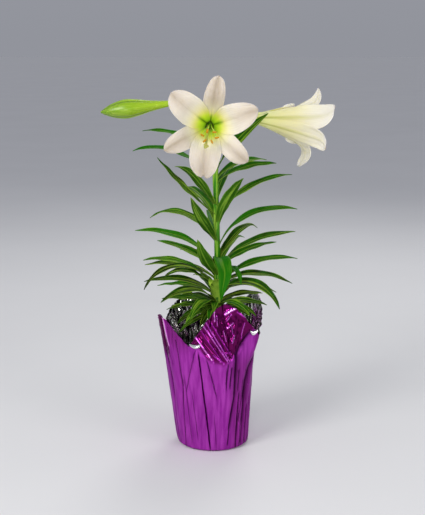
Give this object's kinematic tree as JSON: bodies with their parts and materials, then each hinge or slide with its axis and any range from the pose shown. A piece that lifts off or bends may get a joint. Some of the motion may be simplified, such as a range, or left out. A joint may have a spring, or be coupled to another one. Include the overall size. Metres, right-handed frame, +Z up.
{
  "type": "potted easter lily",
  "caption": "White trumpet lily in bloom with a closed bud and a whorled leafy stem, growing in a pot wrapped in a pleated metallic foil cover.",
  "frame": {"origin": "middle of the foil cover's flat foot, on the surface it stands on", "axes": "+Z up along the stem, +X to the right of the flower that faces the viewer, -Y towards the viewer"},
  "size_m": [0.3271, 0.2478, 0.5407],
  "materials": {
    "foil": "metallised purple film, glossy and crinkled, silver on the inner face",
    "pot": "thin moulded dark green plastic, satin",
    "mix": "moist peat and bark, matt and crumbly",
    "bulb": "fleshy scales, waxy",
    "leaf": "waxy green leaf with a paler midrib, satin",
    "tepal": "thick velvety white petal, green in the throat",
    "filament": "smooth pale green",
    "pollen": "powdery orange pollen",
    "bud": "satin yellow green, lengthwise ribs"
  },
  "bodies": {
    "root": {"foil_cover": "foil", "grow_pot": "pot", "potting_mix": "mix", "bulb": "bulb", "leafy_stem": "leaf", "bud": "bud", "front_bloom_tepals": "tepal", "front_bloom_stamens_pistil": "filament", "front_bloom_anther_1": "pollen", "front_bloom_anther_2": "pollen", "front_bloom_anther_3": "pollen", "front_bloom_anther_4": "pollen", "front_bloom_anther_5": "pollen", "front_bloom_anther_6": "pollen", "side_bloom_tepals": "tepal", "side_bloom_stamens_pistil": "filament", "side_bloom_anther_1": "pollen", "side_bloom_anther_2": "pollen", "side_bloom_anther_3": "pollen", "side_bloom_anther_4": "pollen", "side_bloom_anther_5": "pollen", "side_bloom_anther_6": "pollen"}
  },
  "joints": []
}
